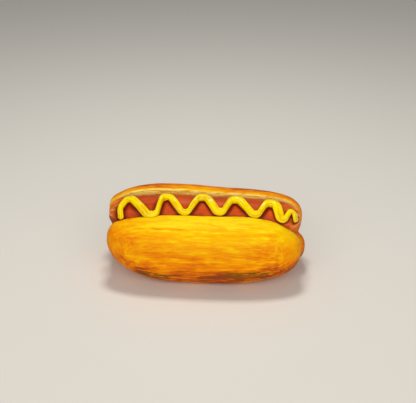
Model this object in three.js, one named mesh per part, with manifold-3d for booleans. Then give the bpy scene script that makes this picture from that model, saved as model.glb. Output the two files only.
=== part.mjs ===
// A hot dog, lying on its underside: a soft split bun, a smoked sausage held in the split, and mustard
// piped along the sausage in one squiggle. Millimetres, +X along the sausage, +Y to the back, +Z up.
// The origin is on the flat of the base, under the sausage's axis.
import * as THREE from "three";
import { LoftGeometry } from "three/addons/geometries/LoftGeometry.js";
import { mergeVertices } from "three/addons/utils/BufferGeometryUtils.js";
import Module from "manifold-3d";

const wasm = await Module();
wasm.setup();

// ---- Driving dimensions -------------------------------------------------------------------------------

const GAP = 0.3; // clearance between touching pieces

// A straight barrel with a rounded tip at each end. A fullness of 2 is an ellipse, and more is plumper.
const SAUSAGE = { length: 147, x: -1, radius: 13.6, height: 44.4, tip: 15, tipFullness: 2.1 };

// The bun opens like a book: a front half, a back half, and the uncut heel that joins them underneath.
// x, y and z are the middle of each, and the rises lift its ends.
const FRONT_HALF = {
  length: 146.4, width: 48, height: 52.5, x: -0.1, y: -18.5, z: 25.3,
  leftRise: 7.5, rightRise: 2, leftFullness: 2.6, rightFullness: 2.6, sectionFullness: 2.05,
};
const BACK_HALF = {
  length: 150.5, width: 45, height: 61.6, x: -1, y: 17.5, z: 29,
  leftRise: 9, rightRise: 7.5, leftFullness: 2.8, rightFullness: 2.45, sectionFullness: 2.2,
};
const HEEL = {
  length: 151.5, width: 52, height: 36, x: 1.25, y: 5, z: 16.8,
  leftRise: 2, rightRise: 1.5, leftFullness: 2.8, rightFullness: 2.7, sectionFullness: 2.2,
};
const RISE_POWER = 4; // how closely the rise keeps to the very ends

// The split: a channel that hugs the sausage and opens upwards. Each cut face leaves the sausage at this
// angle from straight up, along the tangent, so past 90 degrees it leans away from the sausage.
const SPLIT = { frontAngle: 97, backAngle: 84, mouth: 30 };

// The mustard: a bead this tall, with its middle this far off the sausage. It runs over one turn and under
// the next. A turn is a crest or a dip: where it is along the sausage, how many degrees it is from the top
// towards the front, the radius that the bead's middle bends to, and how wide the bead is there.
const BEAD = { height: 5, seat: 1.9, legShare: 0.9, tailShare: 0.3 };
const TURNS = [
  { x: -63.5, degrees: 75, radius: 0, width: 5 },
  { x: -57, degrees: 18, radius: 5.2, width: 6 },
  { x: -40, degrees: 57.5, radius: 4.4, width: 6 },
  { x: -29.3, degrees: 10, radius: 4.6, width: 6.2 },
  { x: -14.6, degrees: 55, radius: 4.4, width: 5.8 },
  { x: -2.8, degrees: 7, radius: 5, width: 6.2 },
  { x: 11.4, degrees: 53, radius: 4.2, width: 5.8 },
  { x: 23, degrees: 10, radius: 5, width: 6.2 },
  { x: 35.9, degrees: 57, radius: 4.4, width: 6 },
  { x: 48.4, degrees: 19, radius: 4.6, width: 6.2 },
  { x: 58.2, degrees: 69, radius: 2.9, width: 5.4 },
  { x: 64, degrees: 46, radius: 2.6, width: 5 },
  { x: 67.3, degrees: 79, radius: 0, width: 4.8 },
];

// How finely the curved faces are divided. The bead's rings are beadStep millimetres apart.
const FACETS = { loafAround: 44, loafAlong: 26, channel: 20, sausage: 36, tip: 9, bead: 14, beadStep: 2.3 };

const MERGE_DISTANCE = 1e-4;
const FLOOR = { size: 400, depth: 100 }; // the block that cuts the base flat

// ---- Solids -------------------------------------------------------------------------------------------

const { degToRad, lerp, clamp } = THREE.MathUtils;
const signedPower = (value, power) => Math.sign(value) * Math.abs(value) ** power;

// A closed three.js geometry as a manifold solid.
function solid(geometry) {
  const plain = new THREE.BufferGeometry();
  plain.setAttribute("position", geometry.getAttribute("position"));
  plain.setIndex(geometry.index);
  const merged = mergeVertices(plain, MERGE_DISTANCE);
  return new wasm.Manifold(new wasm.Mesh({
    numProp: 3,
    vertProperties: merged.getAttribute("position").array,
    triVerts: new Uint32Array(merged.index.array),
  }));
}

// A manifold solid as a three.js geometry.
function geometry(manifold) {
  const mesh = manifold.getMesh();
  const made = new THREE.BufferGeometry();
  made.setAttribute("position", new THREE.BufferAttribute(new Float32Array(mesh.vertProperties), 3));
  made.setIndex(new THREE.BufferAttribute(new Uint32Array(mesh.triVerts), 1));
  made.computeVertexNormals();
  return made;
}

// A plump loaf: a sphere with its poles on the X axis, filled out to a superellipsoid with rising ends.
function loaf(form) {
  const made = new THREE.SphereGeometry(1, FACETS.loafAround, FACETS.loafAlong).rotateZ(Math.PI / 2);
  const points = made.getAttribute("position");
  for (let i = 0; i < points.count; i += 1) {
    const ring = Math.hypot(points.getY(i), points.getZ(i));
    const atPole = ring < MERGE_DISTANCE;
    const atLeft = points.getX(i) < 0;
    const fullness = atLeft ? form.leftFullness : form.rightFullness;
    const reach = signedPower(points.getX(i), 2 / fullness);
    const swell = atPole ? 0 : ring ** (2 / fullness);
    const side = atPole ? 0 : signedPower(points.getY(i) / ring, 2 / form.sectionFullness);
    const up = atPole ? 0 : signedPower(points.getZ(i) / ring, 2 / form.sectionFullness);
    const rise = (atLeft ? form.leftRise : form.rightRise) * Math.abs(reach) ** RISE_POWER;
    points.setXYZ(
      i,
      form.x + (form.length / 2) * reach,
      form.y + (form.width / 2) * swell * side,
      form.z + rise + (form.height / 2) * swell * up,
    );
  }
  return solid(made);
}

// The radius of the sausage at x.
function sausageRadius(x) {
  const intoTip = Math.abs(x - SAUSAGE.x) - (SAUSAGE.length / 2 - SAUSAGE.tip);
  const share = clamp(intoTip / SAUSAGE.tip, 0, 1);
  return SAUSAGE.radius * (1 - share ** SAUSAGE.tipFullness) ** (1 / SAUSAGE.tipFullness);
}

// The sausage, grown all round by a margin.
function sausage(margin = 0) {
  const right = Array.from({ length: FACETS.tip + 1 }, (_, i) => {
    const angle = (i / FACETS.tip) * (Math.PI / 2);
    const reach = (SAUSAGE.tip + margin) * Math.cos(angle) ** (2 / SAUSAGE.tipFullness);
    const radius = (SAUSAGE.radius + margin) * Math.sin(angle) ** (2 / SAUSAGE.tipFullness);
    return new THREE.Vector2(radius, SAUSAGE.length / 2 - SAUSAGE.tip + reach);
  });
  const left = right.map(({ x, y }) => new THREE.Vector2(x, -y));
  const barrel = new THREE.LatheGeometry([...left, ...right.reverse()], FACETS.sausage);
  return solid(barrel.rotateZ(-Math.PI / 2).translate(SAUSAGE.x, 0, SAUSAGE.height));
}

// What the split takes out of the bun, from end to end.
function split() {
  const radius = SAUSAGE.radius + GAP;
  const front = degToRad(SPLIT.frontAngle);
  const back = degToRad(SPLIT.backAngle);
  const onFace = (angle, side, along) => [
    side * (radius * Math.sin(angle) - along * Math.cos(angle)),
    SAUSAGE.height + radius * Math.cos(angle) + along * Math.sin(angle),
  ];
  const shape = new THREE.Shape();
  shape.moveTo(...onFace(front, -1, SPLIT.mouth)).lineTo(...onFace(front, -1, 0));
  shape.absarc(0, SAUSAGE.height, radius, Math.PI / 2 + front, (Math.PI * 5) / 2 - back, false);
  shape.lineTo(...onFace(back, 1, SPLIT.mouth));
  const depth = 2 * BACK_HALF.length;
  const cut = new THREE.ExtrudeGeometry(shape, { depth, bevelEnabled: false, curveSegments: FACETS.channel });
  cut.translate(0, 0, -depth / 2).rotateZ(Math.PI / 2).rotateY(Math.PI / 2);
  return solid(cut);
}

// The bun: two halves and the heel, split, and flattened where it rests.
function bun() {
  const floor = new THREE.BoxGeometry(FLOOR.size, FLOOR.size, FLOOR.depth).translate(0, 0, -FLOOR.depth / 2);
  return loaf(FRONT_HALF).add(loaf(BACK_HALF)).add(loaf(HEEL)).subtract(split()).subtract(solid(floor));
}

// The mustard's route on the sausage's unrolled skin: across is along the sausage, and up runs from the
// front to the top. Straight legs touch the round turns on alternate sides.
function mustardRoute() {
  const perDegree = degToRad(SAUSAGE.radius + BEAD.seat);
  const turns = TURNS.map(({ x, degrees, radius }, i) => {
    const way = i % 2 === 0 ? 1 : -1; // round a dip the route turns left, and over a crest right
    return { radius, way, middle: new THREE.Vector2(x, way * radius - degrees * perDegree) };
  });
  const headings = turns.slice(1).map((turn, i) => {
    const leg = turn.middle.clone().sub(turns[i].middle);
    return leg.angle() + Math.asin((turns[i].radius * turns[i].way - turn.radius * turn.way) / leg.length());
  });
  const route = new THREE.Path().moveTo(turns[0].middle.x, turns[0].middle.y);
  turns.slice(1, -1).forEach(({ radius, way, middle }, i) => {
    const [from, to] = [headings[i], headings[i + 1]].map((heading) => heading - (way * Math.PI) / 2);
    route.lineTo(middle.x + radius * Math.cos(from), middle.y + radius * Math.sin(from));
    route.absarc(middle.x, middle.y, radius, from, to, way < 0);
  });
  return route.lineTo(turns.at(-1).middle.x, turns.at(-1).middle.y);
}

// How wide the bead is at x, where its route heads this way.
function beadWidth(x, heading) {
  const next = clamp(TURNS.findIndex((turn) => turn.x > x), 1, TURNS.length - 1);
  const [from, to] = x > TURNS.at(-1).x ? TURNS.slice(-2) : TURNS.slice(next - 1, next + 1);
  const width = lerp(from.width, to.width, clamp((x - from.x) / (to.x - from.x), 0, 1));
  return width * lerp(BEAD.legShare, 1, heading.x ** 2);
}

// The bead: oval rings across the route, closing to a rounded blob at each end, less the sausage.
function mustard() {
  const route = mustardRoute();
  const length = route.getLength();
  const steps = Math.round(length / FACETS.beadStep);
  const onSausage = (share) => {
    const { x, y } = route.getPointAt(clamp(share, 0, 1));
    const turned = -y / (SAUSAGE.radius + BEAD.seat);
    const outwards = new THREE.Vector3(0, -Math.sin(turned), Math.cos(turned));
    const axis = new THREE.Vector3(x, 0, SAUSAGE.height);
    return { outwards, point: axis.addScaledVector(outwards, sausageRadius(x) + BEAD.seat) };
  };
  const rings = Array.from({ length: steps + 1 }, (_, i) => {
    const share = i / steps;
    const { point, outwards } = onSausage(share);
    const halfStep = 0.5 / steps;
    const ahead = onSausage(share + halfStep).point.sub(onSausage(share - halfStep).point).normalize();
    const across = outwards.clone().cross(ahead).normalize();
    const off = ahead.clone().cross(across);
    const width = beadWidth(point.x, route.getTangentAt(share));
    const toEnd = Math.min(share, 1 - share) * length;
    const blob = Math.max(Math.sqrt(1 - (1 - Math.min(toEnd / (width / 2), 1)) ** 2), BEAD.tailShare);
    return Array.from({ length: FACETS.bead }, (_unused, j) => {
      const angle = (j / FACETS.bead) * Math.PI * 2;
      return point.clone().addScaledVector(across, (width / 2) * blob * Math.cos(angle))
        .addScaledVector(off, (BEAD.height / 2) * blob * Math.sin(angle));
    });
  });
  return solid(new LoftGeometry(rings, { capStart: true, capEnd: true })).subtract(sausage(GAP));
}

// ---- The object ---------------------------------------------------------------------------------------

const hotDog = new THREE.Group();

function piece(name, manifold, color, roughness) {
  const mesh = new THREE.Mesh(geometry(manifold), new THREE.MeshStandardMaterial({ color, roughness }));
  mesh.name = name;
  hotDog.add(mesh);
}

piece("bun", bun(), 0xf0a420, 0.6);
piece("sausage", sausage(), 0xb8441c, 0.35);
piece("mustard", mustard(), 0xf7d20c, 0.4);

export default hotDog;
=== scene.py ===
"""A hot dog: a soft split bun, a smoked sausage held in the split, and a squiggle of yellow mustard."""
import math

import bmesh
import bpy
from mathutils import Matrix, Vector, bvhtree, kdtree, noise


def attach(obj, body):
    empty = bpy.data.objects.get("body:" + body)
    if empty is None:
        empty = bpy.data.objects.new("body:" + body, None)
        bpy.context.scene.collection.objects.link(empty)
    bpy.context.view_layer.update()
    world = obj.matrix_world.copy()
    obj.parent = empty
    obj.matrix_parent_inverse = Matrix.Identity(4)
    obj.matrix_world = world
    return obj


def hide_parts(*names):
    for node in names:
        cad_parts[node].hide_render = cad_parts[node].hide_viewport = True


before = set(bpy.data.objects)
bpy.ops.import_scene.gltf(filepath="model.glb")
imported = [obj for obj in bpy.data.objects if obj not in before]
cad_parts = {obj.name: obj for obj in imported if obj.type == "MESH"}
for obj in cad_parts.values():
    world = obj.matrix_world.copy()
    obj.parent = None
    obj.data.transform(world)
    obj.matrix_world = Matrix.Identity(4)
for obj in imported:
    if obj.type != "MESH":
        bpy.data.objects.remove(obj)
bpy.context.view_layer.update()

# ---- Table, light and camera ---------------------------------------------------------------------------
# A plain pale table in a bright studio. One soft lamp hangs over the food and gives the shine and the
# shadows, a wide panel lights its front, and a pale room fills what is left.

MM = 0.001


def linear(hex_colour):
    """A hex sRGB colour as linear red, green, blue and alpha."""
    channels = [int(hex_colour[i:i + 2], 16) / 255 for i in (1, 3, 5)]
    return [c / 12.92 if c <= 0.04045 else ((c + 0.055) / 1.055) ** 2.4 for c in channels] + [1.0]


def add(tree, kind, inputs=None, **settings):
    """Adds a shader node. An input is given a value, or the socket that feeds it."""
    node = tree.nodes.new("ShaderNode" + kind)
    for name, value in settings.items():
        setattr(node, name, value)
    for name, value in (inputs or {}).items():
        if isinstance(value, bpy.types.NodeSocket):
            tree.links.new(value, node.inputs[name])
        else:
            node.inputs[name].default_value = value
    return node


def new_material(name):
    """An empty material, its node tree and its output node."""
    material = bpy.data.materials.new(name)
    material.use_nodes = True
    material.node_tree.nodes.clear()
    return material, material.node_tree, add(material.node_tree, "OutputMaterial")


def new_object(name, shape):
    """Turns a bmesh into an object with smooth faces."""
    mesh = bpy.data.meshes.new(name)
    for face in shape.faces:
        face.smooth = True
    shape.to_mesh(mesh)
    shape.free()
    made = bpy.data.objects.new(name, mesh)
    bpy.context.scene.collection.objects.link(made)
    return made


def placed(name, data, at, towards):
    """Places a lamp or the camera at one point in millimetres, looking at another."""
    made = bpy.data.objects.new(name, data)
    made.location = Vector(at) * MM
    made.rotation_euler = (Vector(towards) - Vector(at)).to_track_quat("-Z", "Y").to_euler()
    bpy.context.scene.collection.objects.link(made)
    return made


FOOD_MIDDLE = Vector((0, 0, 30))
VIEW_AZIMUTH, VIEW_ELEVATION = math.radians(4), math.radians(28)  # right of square on, and above the table
VIEW_DISTANCE = 696  # from the middle of the food
VIEW_AIM = (1.2, 11.2, 50.8)  # the point at the middle of the view
LENS = 77.9
NEAREST_SEEN = 10
LAMPS = {  # place, width and height in millimetres, watts and colour
    "top_lamp": ((-20, 170, 735), (180, 150), 2.5, "#FFFBF4"),
    "front_panel": ((60, -930, 520), (1900, 700), 9, "#FFFBF4"),
}
ROOM_BRIGHTNESS = 0.25
TABLE_SIZE = 6000

table_shape = bmesh.new()
bmesh.ops.create_grid(table_shape, x_segments=1, y_segments=1, size=TABLE_SIZE / 2 * MM)
table = new_object("table", table_shape)
table_material, nodes, output = new_material("pale matt table")
table_paint = add(nodes, "BsdfPrincipled", {"Base Color": linear("#E6E3DC"), "Roughness": 0.9})
nodes.links.new(table_paint.outputs["BSDF"], output.inputs["Surface"])
table.data.materials.append(table_material)

for lamp_name, (lamp_at, lamp_edges, lamp_watts, lamp_colour) in LAMPS.items():
    lamp = bpy.data.lights.new(lamp_name, "AREA")
    lamp.shape = "RECTANGLE"
    lamp.size = lamp_edges[0] * MM
    lamp.size_y = lamp_edges[1] * MM
    lamp.energy = lamp_watts
    lamp.color = linear(lamp_colour)[:3]
    placed(lamp_name, lamp, lamp_at, FOOD_MIDDLE)

room = bpy.data.worlds.new("pale room")
room.use_nodes = True
room.node_tree.nodes["Background"].inputs["Color"].default_value = linear("#FFFFFF")
room.node_tree.nodes["Background"].inputs["Strength"].default_value = ROOM_BRIGHTNESS
bpy.context.scene.world = room
bpy.context.scene.view_settings.view_transform = "Standard"

camera = bpy.data.cameras.new("camera")
camera.lens = LENS
camera.clip_start = NEAREST_SEEN * MM
back_to_camera = Vector((
    math.sin(VIEW_AZIMUTH) * math.cos(VIEW_ELEVATION),
    -math.cos(VIEW_AZIMUTH) * math.cos(VIEW_ELEVATION),
    math.sin(VIEW_ELEVATION),
))
camera_at = FOOD_MIDDLE + VIEW_DISTANCE * back_to_camera
bpy.context.scene.camera = placed("camera", camera, camera_at, VIEW_AIM)

# ---- Bun -----------------------------------------------------------------------------------------------
# A soft enriched-dough roll, split lengthwise from the top and opened like a book: a front half, a taller
# back half, and the uncut heel under the sausage. The crust is baked gold, yellow and tender along the
# split and brown at the base, and the cut faces show the pale, fine-pored crumb.

SAUSAGE_RADIUS, SAUSAGE_HEIGHT = 13.6, 44.4  # the height is its axis's
SAUSAGE_ARCH = [  # how far its top rises or sinks, along X
    (-76, -1.0), (-64, -1.1), (-50, 0.1), (-36, 1.2), (-16, 1.3), (4, 0.9),
    (20, 0.4), (40, -0.3), (54, -1.4), (66, -2.0), (76, -1.6),
]
# Each part of the bun has a rise and a fullness for its left and its right end. A fullness of 2 is an
# ellipse, and more is boxier.
FRONT_HALF = {
    "size": (146.4, 48, 52.5), "middle": (-0.1, -18.5, 25.3), "rises": (7.5, 2), "fullness": (2.6, 2.6),
    "section_fullness": 2.05,
}
BACK_HALF = {
    "size": (150.5, 45, 61.6), "middle": (-1, 17.5, 29), "rises": (9, 7.5), "fullness": (2.8, 2.45),
    "section_fullness": 2.2,
}
HEEL = {
    "size": (151.5, 52, 36), "middle": (1.25, 5, 16.8), "rises": (2, 1.5), "fullness": (2.8, 2.7),
    "section_fullness": 2.2,
}
RISE_POWER = 4  # the ends rise more steeply than the middle by this power
LOAF_SEGMENTS, LOAF_RINGS = 120, 96
SPLIT_RADIUS = 13.9
SPLIT_FRONT, SPLIT_BACK = math.radians(97), math.radians(84)  # where each cut face leaves the sausage
SPLIT_REACH, SPLIT_LENGTH, SPLIT_STEPS = 60, 200, 48
FLOOR_SIZE = 400
BREAD_VOXEL = 0.8
LIP_ROUNDING = 6  # passes of smoothing, which round the cut edges of the crust


def filled_out(value, fullness):
    """One coordinate of a unit circle, moved out to a superellipse of this fullness."""
    return math.copysign(abs(value) ** (2 / fullness), value)


def loaf(name, form):
    """One plump part of the bun: a ball drawn out along X, with rising ends."""
    shape = bmesh.new()
    bmesh.ops.create_uvsphere(shape, u_segments=LOAF_SEGMENTS, v_segments=LOAF_RINGS, radius=1)
    poles_along_x = Matrix.Rotation(math.pi / 2, 3, "Y")
    bmesh.ops.rotate(shape, verts=shape.verts, cent=(0, 0, 0), matrix=poles_along_x)
    half = Vector(form["size"]) / 2
    for vert in shape.verts:
        end = 0 if vert.co.x < 0 else 1
        ring = max(math.hypot(vert.co.y, vert.co.z), 1e-6)
        reach = filled_out(vert.co.x, form["fullness"][end])
        swell = ring ** (2 / form["fullness"][end])
        vert.co = MM * (Vector(form["middle"]) + Vector((
            half.x * reach,
            half.y * swell * filled_out(vert.co.y / ring, form["section_fullness"]),
            half.z * swell * filled_out(vert.co.z / ring, form["section_fullness"])
            + form["rises"][end] * abs(reach) ** RISE_POWER,
        )))
    bmesh.ops.recalc_face_normals(shape, faces=shape.faces)
    return new_object(name, shape)


def split_block():
    """The space that the knife and the sausage open in the bun: a long drop-shaped bar."""
    span = 2 * math.pi - SPLIT_FRONT - SPLIT_BACK
    outline = [(SPLIT_FRONT, SPLIT_REACH)]
    outline += [(SPLIT_FRONT + span * i / SPLIT_STEPS, 0) for i in range(SPLIT_STEPS + 1)]
    outline += [(2 * math.pi - SPLIT_BACK, -SPLIT_REACH)]
    shape = bmesh.new()
    ring = []
    for turned, along in outline:
        front = SPLIT_RADIUS * math.sin(turned) - along * math.cos(turned)
        up = SPLIT_RADIUS * math.cos(turned) + along * math.sin(turned)
        ring.append(shape.verts.new((-SPLIT_LENGTH / 2 * MM, -front * MM, (SAUSAGE_HEIGHT + up) * MM)))
    end = shape.faces.new(ring)
    extruded = bmesh.ops.extrude_face_region(shape, geom=[end])["geom"]
    far_end = [item for item in extruded if isinstance(item, bmesh.types.BMVert)]
    bmesh.ops.translate(shape, verts=far_end, vec=(SPLIT_LENGTH * MM, 0, 0))
    bmesh.ops.recalc_face_normals(shape, faces=shape.faces)
    return new_object("split", shape)


def with_modifier(made, kind, **settings):
    """Gives an object one modifier and applies it at once."""
    modifier = made.modifiers.new(kind, kind)
    for name, value in settings.items():
        setattr(modifier, name, value)
    seen = made.evaluated_get(bpy.context.evaluated_depsgraph_get())
    mesh = bpy.data.meshes.new_from_object(seen)
    made.modifiers.clear()
    made.data = mesh


def joined(made, other, operation):
    """Joins another solid to this one, or cuts it away, and clears it up."""
    with_modifier(made, "BOOLEAN", object=other, operation=operation, solver="MANIFOLD")
    bpy.data.objects.remove(other)


def off_split(at):
    """How far a point in millimetres is from the sausage channel and the cut faces."""
    front, up = -at.y, at.z - SAUSAGE_HEIGHT
    turned = math.atan2(front, up)
    if -SPLIT_BACK <= turned <= SPLIT_FRONT:
        to_front = front * math.sin(SPLIT_FRONT) + up * math.cos(SPLIT_FRONT)
        to_back = -front * math.sin(SPLIT_BACK) + up * math.cos(SPLIT_BACK)
        return max(to_front, to_back) - SPLIT_RADIUS
    return math.hypot(front, up) - SPLIT_RADIUS


def eased(value, low, high):
    """0 up to low, 1 from high on, and a smooth step between."""
    share = min(max((value - low) / (high - low), 0), 1)
    return share * share * (3 - 2 * share)


def graded(stops, value):
    """Reads a value from straight lines between (place, value) stops."""
    for (place, here), (next_place, there) in zip(stops, stops[1:]):
        if value <= next_place:
            share = max((value - place) / (next_place - place), 0)
            return here + (there - here) * share
    return stops[-1][1]


def flowing(stops, value):
    """Reads a value as graded does, averaged over 12 mm, so that the corners at the stops are eased."""
    spots = [value - 6, value - 2, value + 2, value + 6]
    return sum(graded(stops, spot) for spot in spots) / len(spots)


bun = loaf("bun_bread", FRONT_HALF)
joined(bun, loaf("back_half", BACK_HALF), "UNION")
joined(bun, loaf("heel", HEEL), "UNION")
joined(bun, split_block(), "DIFFERENCE")
floor_shape = bmesh.new()
bmesh.ops.create_cube(floor_shape, size=FLOOR_SIZE * MM)
bmesh.ops.translate(floor_shape, verts=floor_shape.verts, vec=(0, 0, -FLOOR_SIZE / 2 * MM))
joined(bun, new_object("floor", floor_shape), "DIFFERENCE")
with_modifier(bun, "REMESH", mode="VOXEL", voxel_size=BREAD_VOXEL * MM, use_smooth_shade=True)

# The dough rose unevenly, so the bun's edges wander and its crust swells and wrinkles along its grain. Each
# pair of limits says where a change sets in and where it is full.
BACK_TOP = [  # how far the back half's top rises or sinks, along X
    (-75, -2.8), (-66, -1.1), (-60, 0.1), (-52, 0.8), (-38, 1.6), (-24, 0.7),
    (-10, -0.2), (5, -1.4), (16, -1.2), (38, -0.6), (60, 0.6), (70, 0.4),
]
FRONT_LIP = [  # how far the front half's lip rises or sinks, along X
    (-64, 0), (-52, 0.4), (-38, 1.1), (-22, 0.8), (-4, 0.1), (10, 0.5),
    (26, 1.7), (36, 2.4), (46, 1.7), (55, 1.8), (62, 0.2), (68, -1.6),
]
BACK_TOP_HEIGHTS, FRONT_LIP_HEIGHTS, BASE_HEIGHTS = (42, 56), (30, 46), (0.5, 5)
LEFT_BULGE = 0.9  # the back half's left end is a little fuller than its right one
BULGE_ALONG, BULGE_BACK, BULGE_FOOT, BULGE_TOP = (56, 70), (2, 12), (32, 42), (46, 54)
SWELLS = [(26, 0.45), (9, 0.2)]  # the size of each unevenness of the dough, and its height
GRAIN_TURN, GRAIN_MIDDLE = 53, 36  # where the loaf's grain starts to turn round its ends, and its height
GRAIN_SWING, GRAIN_LEAN = 20, 0.35  # its length for each radian of that turn, and its share of height
WRINKLE_LENGTH, WRINKLE_WIDTH, WRINKLE_HEIGHT = 16, 2.2, 0.1
PORES = [(3.2, 0.5), (1.7, 0.3)]  # the size of each kind of pore in the crumb, and its depth
TEAR_SIZE, TEAR = 5, 0.5  # how the edge between crust and crumb wanders
CRUMB_EDGE = 0.3, 1.1  # how far from the cut the crumb ends


def along_grain(at):
    """Where a point lies in the crust's grain: how far along it, how far out from its middle, how deep."""
    height = at.z - GRAIN_MIDDLE
    depth = at.y + GRAIN_LEAN * height
    past = abs(at.x) - GRAIN_TURN
    if past > 0:
        swung = math.pi / 2 - math.atan2(abs(height), past)
        along = math.copysign(GRAIN_TURN + GRAIN_SWING * swung, at.x)
        return Vector((along, math.hypot(past, height), depth))
    return Vector((at.x, abs(height), depth))


bread = bmesh.new()
bread.from_mesh(bun.data)
off_cut = []
for vert in bread.verts:
    at = vert.co / MM
    off_cut.append(off_split(at) + TEAR * noise.noise(at / TEAR_SIZE))
crumbs = [1 - eased(off, *CRUMB_EDGE) for off in off_cut]
for _ in range(LIP_ROUNDING):
    bmesh.ops.smooth_vert(
        bread, verts=bread.verts, factor=0.5, use_axis_x=True, use_axis_y=True, use_axis_z=True,
    )
bread.normal_update()
slopes = [vert.normal.z for vert in bread.verts]
for vert, crumb_here in zip(bread.verts, crumbs):
    at = vert.co / MM
    swelling = sum(height * noise.noise(at / size) for size, height in SWELLS)
    grain = along_grain(at)
    wrinkled = Vector((grain.x / WRINKLE_LENGTH, grain.y / WRINKLE_WIDTH, grain.z / WRINKLE_WIDTH))
    swelling += WRINKLE_HEIGHT * noise.noise(wrinkled)
    dented = sum(depth * abs(noise.noise(at / size)) for size, depth in PORES)
    moved = swelling * (1 - crumb_here) - dented * crumb_here
    at_left_end = eased(-at.x, *BULGE_ALONG) * eased(at.y, *BULGE_BACK)
    moved += LEFT_BULGE * at_left_end * eased(at.z, *BULGE_FOOT) * (1 - eased(at.z, *BULGE_TOP))
    vert.co += MM * moved * eased(at.z, *BASE_HEIGHTS) * vert.normal
    if at.y > 0:
        vert.co.z += MM * flowing(BACK_TOP, at.x) * eased(at.z, *BACK_TOP_HEIGHTS)
    else:
        vert.co.z += MM * flowing(FRONT_LIP, at.x) * eased(at.z, *FRONT_LIP_HEIGHTS)
    vert.co.z = max(vert.co.z, 0)
bread.normal_update()

# How brown the crust is: by its slope on the front half, which browned most where it turns under, and by
# the distance from the lip on the back half. Both brown along their length too. Slopes are the upward
# share of the crust's direction, from 1 on top to -1 underneath.
FRONT_BAKE = [
    (-0.88, 0.82), (-0.7, 0.89), (-0.5, 0.94), (-0.35, 0.93), (-0.2, 0.83), (-0.05, 0.65),
    (0.05, 0.58), (0.23, 0.53), (0.45, 0.49), (0.6, 0.36), (0.76, 0.25), (0.93, 0.1),
]
FRONT_ALONG_BAKE = [
    (-64, 0.34), (-54, 0.28), (-44, 0.06), (-30, 0.0), (46, 0.0), (60, 0.04), (70, 0.08),
]
FRONT_ALONG_SLOPES = 0.2, 0.7
HEEL_END, HEEL_END_BAKE = (72, 76), 0.2  # the heel's right end is browner
LEFT_END, LEFT_END_SLOPES, LEFT_END_BAKE = (48, 58), (0.05, 0.25), 0.12  # the left end is paler underneath
STRETCH_LINES = [  # fine lines where the crust stretched: middle x, half length, slope and how much browner
    (-26, 17, 0.83, 0.34), (-47, 6, 0.84, 0.24), (16, 10, 0.45, -0.18), (52, 11, 0.1, 0.18),
]
LINE_END, LINE_EDGE, LINE_WAVE, LINE_WAVE_LENGTH = (0.5, 1), (0.008, 0.03), 0.02, 7
BACK_BAKE = [(0, 0.2), (2, 0.42), (5, 0.62), (8, 0.78), (12, 0.86), (19, 0.68), (30, 0.6)]
BACK_ALONG_BAKE = [
    (-76, 0.1), (-66, 0.02), (-38, 0.06), (-20, -0.1), (10, -0.1),
    (28, 0.1), (45, 0.2), (60, 0.26), (76, 0.3),
]
BACK_ALONG_REACH, BACK_MOST_BAKE = (12, 26), 0.88
BACK_START, BACK_UNDER_SLOPES = (-4, 8), (0, 0.3)  # from front to back, and where it turns under
END_START, END_EVENNESS = (53, 70), 0.65  # how much fainter the streaks are on the ends
BACK_EVEN_START, BACK_EVENNESS, LEAST_STREAKS = (9, 17), 0.45, 0.25  # and on the back, away from its lip
RIGHT_CRUST, RIGHT_CRUST_SHARE = (62, 71), 0.9  # the crust creeps over the cut faces at the bun's ends
LEFT_CRUST, LEFT_CRUST_SHARE = (60, 72), 0.85
CRUMB_SHADE, CRUMB_SHADE_END = [(53.3, 1.0), (54.2, 0.0)], (48, 66)  # painted shade on the crumb next to the sausage
TRAY_MARKS = [  # darker patches low on the front: middle x, half length, middle height and half height
    (-36, 15, 11.6, 4), (34, 19, 15.6, 3.8),
]
MARK_STRENGTH, MARK_FRONT, MARK_END, MARK_EDGE = 2.6, -10, (0.4, 1), (0.5, 1)


def front_bake_at(at, slope):
    """How brown the front half and the heel are at a point."""
    brown = graded(FRONT_BAKE, slope) + graded(FRONT_ALONG_BAKE, at.x) * eased(slope, *FRONT_ALONG_SLOPES)
    brown += HEEL_END_BAKE * eased(at.x, *HEEL_END)
    brown -= LEFT_END_BAKE * eased(-at.x, *LEFT_END) * eased(-slope, *LEFT_END_SLOPES)
    for middle_x, half_length, line_slope, line_bake in STRETCH_LINES:
        wave = LINE_WAVE * noise.noise(Vector((at.x / LINE_WAVE_LENGTH, middle_x, 0)))
        along_line = 1 - eased(abs(at.x - middle_x) / half_length, *LINE_END)
        brown += line_bake * along_line * (1 - eased(abs(slope - line_slope - wave), *LINE_EDGE))
    return brown


def back_bake_at(at, slope, off):
    """How brown the back half is at a point that lies this far from the cut."""
    brown = graded(BACK_BAKE, off) + graded(BACK_ALONG_BAKE, at.x) * (1 - eased(off, *BACK_ALONG_REACH))
    under = graded(FRONT_BAKE, slope) * eased(-slope, *BACK_UNDER_SLOPES)
    return max(min(brown, BACK_MOST_BAKE), under)


def tray_mark_and_shade_at(at, crumb_here):
    """How much painted shade the crumb has at a point, or how strong the tray's mark."""
    crumb_shade_here = graded(CRUMB_SHADE, at.z - flowing(SAUSAGE_ARCH, at.x)) * (1 - eased(abs(at.x), *CRUMB_SHADE_END))
    mark_and_shade_here = crumb_here * crumb_shade_here
    if at.y < MARK_FRONT:
        for middle_x, half_length, middle_z, half_height in TRAY_MARKS:
            mark = 1 - eased(abs(at.x - middle_x) / half_length, *MARK_END)
            mark *= 1 - eased(abs(at.z - middle_z) / half_height, *MARK_EDGE)
            mark_and_shade_here = max(mark_and_shade_here, MARK_STRENGTH * mark)
    return mark_and_shade_here


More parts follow.
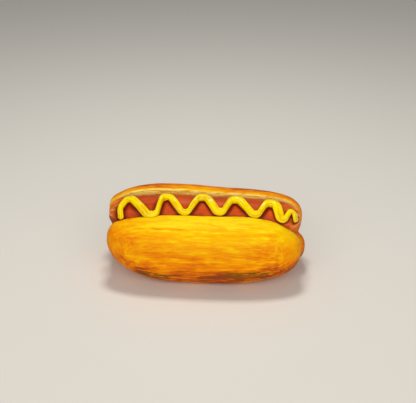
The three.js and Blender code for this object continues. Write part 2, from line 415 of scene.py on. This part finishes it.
crust_marks = []
for vert, off, crumb_here, slope in zip(bread.verts, off_cut, crumbs, slopes):
    at = vert.co / MM
    back_share = eased(at.y, *BACK_START)
    bake_here = front_bake_at(at, slope) * (1 - back_share) + back_bake_at(at, slope, off) * back_share
    calm = END_EVENNESS * eased(abs(at.x), *END_START)
    calm += BACK_EVENNESS * eased(off, *BACK_EVEN_START) * back_share
    crusted = RIGHT_CRUST_SHARE * eased(at.x, *RIGHT_CRUST) + LEFT_CRUST_SHARE * eased(-at.x, *LEFT_CRUST)
    crumb_here *= 1 - crusted
    crust_marks.append((
        crumb_here, bake_here, max(1 - calm, LEAST_STREAKS), tray_mark_and_shade_at(at, crumb_here), along_grain(at) * MM,
    ))
bread.to_mesh(bun.data)
bread.free()
for column, name in enumerate(("crumb", "bake", "streaky", "tray_mark_and_shade")):
    layer = bun.data.attributes.new(name, "FLOAT", "POINT")
    layer.data.foreach_set("value", [marks[column] for marks in crust_marks])
grain_layer = bun.data.attributes.new("grain", "FLOAT_VECTOR", "POINT")
grain_layer.data.foreach_set("vector", [value for marks in crust_marks for value in marks[4]])

# The crust is thin and satin. It was brushed along the loaf before baking, so it browned in streaks and
# blotches, from yellow to orange. The finest strokes are drawn 1.7 mm wide and the wrinkles 1.2 mm, so that
# they show.
STREAK_WIDTH, STROKE_WIDTH, BLOTCH_WIDTH, WRINKLE_SPACING = 3.2, 1.7, 11, 1.2
CRUST_COLOURS = [  # by how brown the crust is
    (0.0, "#FBDC10"), (0.14, "#FACC05"), (0.3, "#F9BA02"), (0.5, "#F6A202"),
    (0.68, "#EC8604"), (0.82, "#D8700A"), (0.92, "#BE5A10"), (1.0, "#96451C"),
]

crust_material, nodes, output = new_material("brushed and baked bun crust")
here = add(nodes, "TexCoord").outputs["Object"]
bake = add(nodes, "Attribute", attribute_name="bake").outputs["Fac"]
crumb = add(nodes, "Attribute", attribute_name="crumb").outputs["Fac"]
tray_mark_and_shade = add(nodes, "Attribute", attribute_name="tray_mark_and_shade").outputs["Fac"]
streaky = add(nodes, "Attribute", attribute_name="streaky").outputs["Fac"]
grain = add(nodes, "Attribute", attribute_name="grain").outputs["Vector"]
stretched = add(nodes, "Mapping", {"Vector": grain, "Scale": (0.12, 1, 1)}).outputs["Vector"]
streaks = add(nodes, "TexNoise", {
    "Vector": stretched, "Scale": 1 / (STREAK_WIDTH * MM), "Detail": 6, "Roughness": 0.68,
})
strokes = add(nodes, "TexNoise", {
    "Vector": stretched, "Scale": 1 / (STROKE_WIDTH * MM), "Detail": 1, "Roughness": 0.5,
})
blotted = add(nodes, "Mapping", {"Vector": grain, "Scale": (0.45, 1, 1)}).outputs["Vector"]
mottle = add(nodes, "TexNoise", {
    "Vector": blotted, "Scale": 1 / (BLOTCH_WIDTH * MM), "Detail": 5, "Roughness": 0.62,
})
streaked = add(nodes, "MapRange", {
    "Value": streaks.outputs["Fac"], "From Min": 0.36, "From Max": 0.64, "To Min": -0.16, "To Max": 0.13,
}).outputs["Result"]
stroked = add(nodes, "MapRange", {
    "Value": strokes.outputs["Fac"], "From Min": 0.56, "From Max": 0.66, "To Min": 0.02, "To Max": -0.2,
}).outputs["Result"]
mottled = add(nodes, "MapRange", {
    "Value": mottle.outputs["Fac"], "From Min": 0.38, "From Max": 0.62, "To Min": -0.12, "To Max": 0.13,
}).outputs["Result"]
uneven = add(nodes, "Math", {0: streaked, 1: stroked}, operation="ADD").outputs[0]
uneven = add(nodes, "Math", {0: uneven, 1: mottled}, operation="ADD").outputs[0]
browned = add(nodes, "Math", {0: uneven, 1: streaky, 2: bake}, operation="MULTIPLY_ADD").outputs[0]
ramp = add(nodes, "ValToRGB", {"Fac": browned})
while len(ramp.color_ramp.elements) < len(CRUST_COLOURS):
    ramp.color_ramp.elements.new(1.0)
for element, (position, colour) in zip(ramp.color_ramp.elements, CRUST_COLOURS):
    element.position = position
    element.color = linear(colour)

# The crumb is pale and matt, with pores of 1 to 2 mm, which painted shade darkens. It tore into fibres that
# catch the light as cream streaks, and painted shade darkens their foot next to the sausage. The fibres are
# drawn 1.5 mm wide, so that they show.
FIBRE_WIDTH, PORE_SIZE = 1.5, 1.5

fibres = add(nodes, "Mapping", {"Vector": grain, "Scale": (0.14, 1, 1)}).outputs["Vector"]
fibres = add(nodes, "TexNoise", {
    "Vector": fibres, "Scale": 1 / (FIBRE_WIDTH * MM), "Detail": 3, "Roughness": 0.6,
})
torn = add(nodes, "ValToRGB", {"Fac": fibres.outputs["Fac"]})
torn.color_ramp.elements[0].position = 0.38
torn.color_ramp.elements[0].color = linear("#E8AE2E")
torn.color_ramp.elements[1].position = 0.48
torn.color_ramp.elements[1].color = linear("#FFF484")
pores = add(nodes, "TexVoronoi", {"Vector": here, "Scale": 1 / (PORE_SIZE * MM)}, feature="SMOOTH_F1")
# Painted shade: the crumb is darker inside its pores.
painted_pore_shade = add(nodes, "MapRange", {
    "Value": pores.outputs["Distance"], "From Min": 0.1, "From Max": 0.35, "To Min": 0.2, "To Max": 0,
}).outputs["Result"]
crumb_colour = add(nodes, "Mix", {
    "Factor": painted_pore_shade, 6: torn.outputs["Color"], 7: linear("#D09A2C"),
}, data_type="RGBA").outputs[2]
colour = add(nodes, "Mix", {
    "Factor": crumb, 6: ramp.outputs["Color"], 7: crumb_colour,
}, data_type="RGBA").outputs[2]
# Painted shade darkens the crumb's foot next to the sausage; the same mix gives the tray's darker marks on
# the crust.
ragged = add(nodes, "MapRange", {
    "Value": fibres.outputs["Fac"], "From Min": 0.47, "From Max": 0.55, "To Min": 0.05,
}).outputs["Result"]
marked_and_shaded = add(nodes, "Math", {0: tray_mark_and_shade, 1: ragged}, operation="MULTIPLY").outputs[0]
colour = add(nodes, "Mix", {
    "Factor": marked_and_shaded, 6: colour, 7: linear("#80560E"),
}, data_type="RGBA").outputs[2]
wrinkles = add(nodes, "Mapping", {"Vector": grain, "Scale": (0.2, 1, 1)}).outputs["Vector"]
wrinkles = add(nodes, "TexNoise", {
    "Vector": wrinkles, "Scale": 1 / (WRINKLE_SPACING * MM), "Detail": 4, "Roughness": 0.65,
})
relief = add(nodes, "Mix", {"Factor": crumb, 2: wrinkles.outputs["Fac"], 3: pores.outputs["Distance"]})
bump = add(nodes, "Bump", {"Height": relief.outputs[0], "Strength": 0.35, "Distance": 0.5 * MM})
roughness = add(nodes, "MapRange", {"Value": crumb, "To Min": 0.5, "To Max": 0.95}).outputs["Result"]
crust = add(nodes, "BsdfPrincipled", {
    "Base Color": colour, "Roughness": roughness, "Normal": bump.outputs["Normal"],
    "Specular IOR Level": 0.05, "Subsurface Weight": 0.04,
    "Subsurface Radius": (1.0, 0.5, 0.2), "Subsurface Scale": 2 * MM,
})
nodes.links.new(crust.outputs["BSDF"], output.inputs["Surface"])
bun.data.materials.clear()
bun.data.materials.append(crust_material)
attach(bun, "root")
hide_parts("bun")

# ---- Sausage -------------------------------------------------------------------------------------------
# A smoked frankfurter in a thin, tight skin, nearly as long as the bun. It lies in the split with its
# domed tips at the bun's open ends, each drawn into fine creases where the link was twisted off.

SAUSAGE_LENGTH, SAUSAGE_MIDDLE, SAUSAGE_TIP, TIP_FULLNESS = 147, -1, 15, 2.1
ARCH_START = 0.1, 0.9  # the arch is full on top and fades down the sides
SKIN_RINGS, SKIN_AROUND = 220, 108
TIP_SHARE = 0.14  # the share of the skin's rings that each tip takes
SKIN_SWELLS, SWELL_START = [(24, 0.2), (8, 0.06)], (0, 8)
CREASES, CREASE_DEPTH, CREASE_WAVE, CREASE_SHARPNESS = 9, 0.63, 5, 3
CREASE_START, CREASE_SIDE, CREASE_END = (0, 2.5), (2, 9), (-9, 1)  # out from the axis, and into the barrel
DIMPLE_WIDTH, DIMPLE_DEPTH = 2.4, 1.2
WELD = 0.001


def sausage_radius(x):
    """The radius of the sausage at x, in millimetres."""
    into_tip = abs(x - SAUSAGE_MIDDLE) - (SAUSAGE_LENGTH / 2 - SAUSAGE_TIP)
    share = min(max(into_tip / SAUSAGE_TIP, 0), 1)
    return SAUSAGE_RADIUS * (1 - share ** TIP_FULLNESS) ** (1 / TIP_FULLNESS)


def arched(x, turned, out):
    """How far out a point lies once the top of the sausage has its slight arch."""
    return out * (1 + flowing(SAUSAGE_ARCH, x) / SAUSAGE_RADIUS * eased(math.cos(turned), *ARCH_START))


def around_sausage(x, turned, out):
    """The point at x, turned from the top towards the front, this far out from the sausage's axis."""
    return Vector((x, -out * math.sin(turned), SAUSAGE_HEIGHT + out * math.cos(turned)))


def rolled_up(rings, around, place):
    """Rolls a flat sheet up into a closed skin. place gives the point for a share along and a turn."""
    shape = bmesh.new()
    bmesh.ops.create_grid(shape, x_segments=rings, y_segments=around, size=0.5)
    skin_layer = shape.verts.layers.float_vector.new("skin")
    for vert in shape.verts:
        along, turned = min(max(vert.co.x + 0.5, 0), 1), (vert.co.y + 0.5) * 2 * math.pi
        vert[skin_layer] = (along, math.cos(turned), math.sin(turned))
        vert.co = MM * place(along, turned)
    bmesh.ops.remove_doubles(shape, verts=shape.verts, dist=WELD * MM)
    bmesh.ops.recalc_face_normals(shape, faces=shape.faces)
    return shape


def on_skin(along, turned):
    """A point of the sausage's skin, with its unevenness and the creases of its tips."""
    from_end = min(along, 1 - along)
    side = -1 if along < 0.5 else 1
    tip = min(from_end / TIP_SHARE, 1)
    barrel = SAUSAGE_LENGTH / 2 - SAUSAGE_TIP
    if tip < 1:
        x = side * (barrel + SAUSAGE_TIP * math.cos(tip * math.pi / 2) ** (2 / TIP_FULLNESS))
        out = SAUSAGE_RADIUS * math.sin(tip * math.pi / 2) ** (2 / TIP_FULLNESS)
    else:
        x = barrel * (2 * along - 1) / (1 - 2 * TIP_SHARE)
        out = SAUSAGE_RADIUS
    at = around_sausage(x, turned, out)
    wave = noise.noise(Vector((side * 3, math.cos(turned), math.sin(turned))))
    crease = (0.5 + 0.5 * math.cos(CREASES * turned + CREASE_WAVE * wave)) ** CREASE_SHARPNESS
    drawn_in = crease * eased(out, *CREASE_START) * (1 - eased(barrel - abs(x), *CREASE_END))
    swelling = sum(height * noise.noise(at / size) for size, height in SKIN_SWELLS)
    x -= side * (DIMPLE_DEPTH * math.exp(-(out / DIMPLE_WIDTH) ** 2) + CREASE_DEPTH * drawn_in)
    out -= CREASE_DEPTH * drawn_in * eased(out, *CREASE_SIDE)
    x += SAUSAGE_MIDDLE
    return around_sausage(x, turned, arched(x, turned, out) + swelling * eased(out, *SWELL_START))


sausage = new_object("sausage_skin", rolled_up(SKIN_RINGS, SKIN_AROUND, on_skin))

# The casing is smoked red-brown in soft patches, darker towards its left end, and paler at the tips. Painted
# shade darkens its top, and painted highlights streak the gathered skin of the tips. It is greasy, so it
# shines softly.
# Its wrinkles are drawn about a millimetre apart, so that they show.
SMOKE_PATCH, CASING_WRINKLE = 5, 1.0
DARK_LEFT, SHADED_TOP = (-30, -48), (8, 13)  # where each sets in and is full: along X, and above the axis
PALE_TIPS = 58, 73  # from the middle

sausage_material, nodes, output = new_material("smoked sausage casing")
here = add(nodes, "TexCoord").outputs["Object"]
stretched = add(nodes, "Mapping", {"Vector": here, "Scale": (0.35, 1, 1)}).outputs["Vector"]
smoke = add(nodes, "TexNoise", {
    "Vector": stretched, "Scale": 1 / (SMOKE_PATCH * MM), "Detail": 6, "Roughness": 0.66,
})
ramp = add(nodes, "ValToRGB", {"Fac": smoke.outputs["Fac"]})
ramp.color_ramp.elements[0].position = 0.34
ramp.color_ramp.elements[0].color = linear("#B8400E")
ramp.color_ramp.elements[1].position = 0.64
ramp.color_ramp.elements[1].color = linear("#E45E18")
axes = add(nodes, "SeparateXYZ", {"Vector": here})
left_part = add(nodes, "MapRange", {
    "Value": axes.outputs["X"], "From Min": DARK_LEFT[0] * MM, "From Max": DARK_LEFT[1] * MM, "To Max": 0.4,
}).outputs["Result"]
# Painted shade: the top of the casing is darkened.
top_start, top_full = [(SAUSAGE_HEIGHT + up) * MM for up in SHADED_TOP]
painted_top_shade = add(nodes, "MapRange", {
    "Value": axes.outputs["Z"], "From Min": top_start, "From Max": top_full, "To Max": 0.35,
}).outputs["Result"]
smoke_and_top_shade = add(nodes, "Math", {0: left_part, 1: painted_top_shade}, operation="MAXIMUM").outputs[0]
colour = add(nodes, "Mix", {
    "Factor": smoke_and_top_shade, 6: ramp.outputs["Color"], 7: linear("#A03A10"),
}, data_type="RGBA").outputs[2]
from_middle = add(nodes, "Math", {0: axes.outputs["X"]}, operation="ABSOLUTE").outputs[0]
at_tip = add(nodes, "MapRange", {
    "Value": from_middle, "From Min": PALE_TIPS[0] * MM, "From Max": PALE_TIPS[1] * MM, "To Max": 0.75,
}).outputs["Result"]
colour = add(nodes, "Mix", {
    "Factor": at_tip, 6: colour, 7: linear("#F08020"),
}, data_type="RGBA").outputs[2]
around_tip = add(nodes, "Attribute", attribute_name="skin").outputs["Vector"]
around_tip = add(nodes, "Mapping", {"Vector": around_tip, "Scale": (5, 1, 1)}).outputs["Vector"]
# Painted highlights: pale streaks on the gathered skin of the tips.
tip_highlight_noise = add(nodes, "TexNoise", {"Vector": around_tip, "Scale": 3.4, "Detail": 2, "Roughness": 0.5})
painted_tip_highlights = add(nodes, "MapRange", {
    "Value": tip_highlight_noise.outputs["Fac"], "From Min": 0.54, "From Max": 0.64,
}).outputs["Result"]
painted_tip_highlights = add(nodes, "Math", {0: painted_tip_highlights, 1: at_tip}, operation="MULTIPLY").outputs[0]
colour = add(nodes, "Mix", {
    "Factor": painted_tip_highlights, 6: colour, 7: linear("#FFBC68"),
}, data_type="RGBA").outputs[2]
# Painted shadow: the casing is darkened along the bead's lower side and under the left end of the front lip.
painted_shadow = add(nodes, "Attribute", attribute_name="painted_shadow").outputs["Fac"]
shadow_share = add(nodes, "MapRange", {"Value": painted_shadow, "To Max": 0.9}).outputs["Result"]
colour = add(nodes, "Mix", {
    "Factor": shadow_share, 6: colour, 7: linear("#6E1008"),
}, data_type="RGBA").outputs[2]
wrinkles = add(nodes, "TexNoise", {
    "Vector": stretched, "Scale": 1 / (CASING_WRINKLE * MM), "Detail": 3, "Roughness": 0.6,
})
bump = add(nodes, "Bump", {"Height": wrinkles.outputs["Fac"], "Strength": 0.3, "Distance": 0.3 * MM})
casing = add(nodes, "BsdfPrincipled", {
    "Base Color": colour, "Roughness": 0.4, "Normal": bump.outputs["Normal"],
    "Specular IOR Level": 0.1, "Subsurface Weight": 0.06,
    "Subsurface Radius": (1.0, 0.3, 0.15), "Subsurface Scale": 1.5 * MM,
})
nodes.links.new(casing.outputs["BSDF"], output.inputs["Surface"])
sausage.data.materials.append(sausage_material)
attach(sausage, "root")
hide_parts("sausage")

# ---- Mustard -------------------------------------------------------------------------------------------
# Smooth yellow mustard, squeezed from a bottle in one bead that swings from side to side along the
# sausage. It keeps faint ridges from the nozzle and has a rounded foot where it clings to the skin.

BEAD_SEAT, BEAD_AROUND = 1.9, 32
TURNS = [  # x, degrees from the top towards the front, bend (below 0 it turns right), bead width and height
    (-62.6, 82, 0, 6.8, 4.6), (-55.8, 25, -7.8, 5.6, 4.4), (-57, 18, -3.8, 5, 4),
    (-40, 67, 5.2, 6.6, 10), (-28.6, 11.5, -4.6, 4.9, 4), (-14.6, 57, 4.2, 5, 4.6),
    (-1.6, 8, -5, 5.8, 4.6), (11.6, 52.5, 4.2, 5.8, 5), (23.2, 10.5, -5, 6.4, 5),
    (38, 56, 4.2, 5.4, 5.6), (49.5, 16, -5, 6.8, 4.9), (59, 65, 2.8, 6.8, 5.2),
    (65.4, 42, -2.2, 4.9, 4.4), (69, 80, 0, 3.2, 3.6),
]
TURN_STEPS, ROUTE_STEP = 24, 0.25
UP_LEG, DOWN_LEG = 0.63, 1.04  # how wide the bead stays on the legs towards the back and the front
RIDGES, RIDGE_HEIGHT = 7, 0.1
RIDGE_DRIFT, RIDGE_DRIFT_LENGTH = 3, 30  # the ridges turn a little around the bead along its length
BEAD_SWELLS = [(11, 0.2), (4, 0.08)]
BEAD_FULLNESS, FOOT_FULLNESS = 2.4, 3
SINK, REST = 0.12, 0.1  # how far the foot reaches into the skin, and how far the bead stays off the crust
bun_skin = bvhtree.BVHTree.FromObject(bun, bpy.context.evaluated_depsgraph_get())


def mustard_route():
    """The bead's middle on the unrolled skin: straight legs that touch round turns."""
    around = math.radians(SAUSAGE_RADIUS + BEAD_SEAT)
    middles = [(Vector((x, bend - degrees * around)), bend) for x, degrees, bend, _, _ in TURNS]
    headings = []
    for (here, bend), (there, next_bend) in zip(middles, middles[1:]):
        leg = there - here
        headings.append(math.atan2(leg.y, leg.x) + math.asin((bend - next_bend) / leg.length))
    corners = [middles[0][0]]
    for (middle, bend), before, after in zip(middles[1:-1], headings, headings[1:]):
        for i in range(TURN_STEPS + 1):
            heading = before + (after - before) * i / TURN_STEPS
            corners.append(middle + bend * Vector((math.sin(heading), -math.cos(heading))))
    corners.append(middles[-1][0])
    route, left_over = [corners[0]], 0
    for here, there in zip(corners, corners[1:]):
        length = (there - here).length
        done = ROUTE_STEP - left_over
        while done <= length:
            route.append(here.lerp(there, done / length))
            done += ROUTE_STEP
        left_over = length - (done - ROUTE_STEP)
    return route


route = mustard_route()
widths = sorted((x, width) for x, _, _, width, _ in TURNS)
heights = sorted((x, height) for x, _, _, _, height in TURNS)


def rested(at):
    """Moves a point that would lie in the bread out onto the crust, so that the sauce settles on the lip."""
    touched, outwards, _, _ = bun_skin.find_nearest(at * MM)
    clear = (at - touched / MM).dot(outwards)
    return at + outwards * (REST - clear) if clear < REST else at


def on_bead(along, turned):
    """A point of the bead's skin: an oval across its route, flattened where it clings to the sausage."""
    place = along * (len(route) - 1)
    step = min(int(place), len(route) - 2)
    middle = route[step].lerp(route[step + 1], place - step)
    ahead = (route[min(step + 2, len(route) - 1)] - route[max(step - 1, 0)]).normalized()
    across = Vector((-ahead.y, ahead.x))
    from_start = along * ROUTE_STEP * (len(route) - 1)
    swelling = sum(height * noise.noise(Vector((from_start / size, 7, 3))) for size, height in BEAD_SWELLS)
    leg_share = UP_LEG if ahead.y > 0 else DOWN_LEG
    half_width = graded(widths, middle.x) / 2 * (1 - (1 - leg_share) * ahead.y ** 2) + swelling
    half_height = graded(heights, middle.x) / 2 + swelling
    to_end = min(along, 1 - along) * ROUTE_STEP * (len(route) - 1) / half_width
    blob = math.sqrt(1 - (1 - min(to_end, 1)) ** 2)
    drift = RIDGE_DRIFT * noise.noise(Vector((from_start / RIDGE_DRIFT_LENGTH, 2, 5)))
    ridge = RIDGE_HEIGHT * math.cos(RIDGES * turned + drift) * blob
    side, up = math.cos(turned), math.sin(turned)
    side = filled_out(side, FOOT_FULLNESS if up < 0 else BEAD_FULLNESS)
    spot = middle + across * side * (half_width * blob + ridge)
    height = BEAD_SEAT + filled_out(up, BEAD_FULLNESS) * (half_height * blob + ridge)
    turned_over = -spot.y / (SAUSAGE_RADIUS + BEAD_SEAT)
    out = arched(spot.x, turned_over, sausage_radius(spot.x)) + max(height, -SINK)
    return rested(around_sausage(spot.x, turned_over, out))


mustard = new_object("mustard_bead", rolled_up(len(route) // 2, BEAD_AROUND, on_bead))

# Painted shadow darkens the skin in a narrow edge along the bead's lower side, and where the left end of the
# front lip meets it.
SHADOW_SIDE, SHADOW_UNDER = 1.5, 0.4  # how far it is moved down, and how far it starts under the bead
SHADOW_WIDTH = [(-50, 4.4), (-25, 3.2), (0, 2.4), (60, 2.6)]  # along X
LIP_SHADOW_AROUND, LIP_SHADOW_LEFT = (math.radians(80), math.radians(92)), (40, 54)
LIP_SHADOW_STRENGTH = 0.8
route_tree = kdtree.KDTree(len(route))
for i, spot in enumerate(route):
    route_tree.insert((spot.x, spot.y, 0), i)
route_tree.balance()
shadow_marks = []
for vert in sausage.data.vertices:
    at = vert.co / MM
    turned_over = math.atan2(-at.y, at.z - SAUSAGE_HEIGHT)
    spot = (at.x, SHADOW_SIDE - turned_over * (SAUSAGE_RADIUS + BEAD_SEAT), 0)
    off_route = route_tree.find(spot)[2]
    edge = graded(widths, at.x) / 2 - SHADOW_UNDER
    bead_shadow = 1 - eased(off_route, edge, edge + graded(SHADOW_WIDTH, at.x))
    lip_shadow = LIP_SHADOW_STRENGTH * eased(turned_over, *LIP_SHADOW_AROUND) * eased(-at.x, *LIP_SHADOW_LEFT)
    shadow_marks.append(max(bead_shadow, lip_shadow))
sausage.data.attributes.new("painted_shadow", "FLOAT", "POINT").data.foreach_set("value", shadow_marks)

# Mustard is ground seed in vinegar: glossy and opaque, with slightly darker streaks drawn along the bead.
# Its streaks are drawn 1.5 mm wide, so that they show, and about 14 mm long. Its foot is tinted orange,
# partly where the thin sauce lets the sausage's red-brown show through and partly as painted shade.
GRIND_LENGTH, GRIND_WIDTH, BEAD_RADIUS = 14, 1.5, 3

mustard_material, nodes, output = new_material("squeezed yellow mustard")
on_skin_of = add(nodes, "Attribute", attribute_name="skin").outputs["Vector"]
along, across = ROUTE_STEP * len(route) / GRIND_LENGTH, BEAD_RADIUS / GRIND_WIDTH
drawn = add(nodes, "Mapping", {"Vector": on_skin_of, "Scale": (along, across, across)}).outputs["Vector"]
grind = add(nodes, "TexNoise", {"Vector": drawn, "Scale": 1, "Detail": 5, "Roughness": 0.6})
ramp = add(nodes, "ValToRGB", {"Fac": grind.outputs["Fac"]})
ramp.color_ramp.elements[0].position = 0.38
ramp.color_ramp.elements[0].color = linear("#E8B402")
ramp.color_ramp.elements[1].position = 0.5
ramp.color_ramp.elements[1].color = linear("#FEE104")
up_bead = add(nodes, "SeparateXYZ", {"Vector": on_skin_of}).outputs["Z"]
# The foot is tinted orange: partly the sausage showing through, partly painted shade.
at_foot = add(nodes, "MapRange", {
    "Value": up_bead, "From Min": 0.1, "From Max": -0.7, "To Max": 0.85,
}).outputs["Result"]
colour = add(nodes, "Mix", {
    "Factor": at_foot, 6: ramp.outputs["Color"], 7: linear("#FF9A0A"),
}, data_type="RGBA").outputs[2]
bump = add(nodes, "Bump", {"Height": grind.outputs["Fac"], "Strength": 0.25, "Distance": 0.3 * MM})
sauce = add(nodes, "BsdfPrincipled", {
    "Base Color": colour, "Roughness": 0.18, "Normal": bump.outputs["Normal"],
    "Specular IOR Level": 0.16, "Subsurface Weight": 0.5,
    "Subsurface Radius": (1.0, 0.6, 0.05), "Subsurface Scale": 2 * MM,
})
nodes.links.new(sauce.outputs["BSDF"], output.inputs["Surface"])
mustard.data.materials.append(mustard_material)
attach(mustard, "root")
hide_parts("mustard")
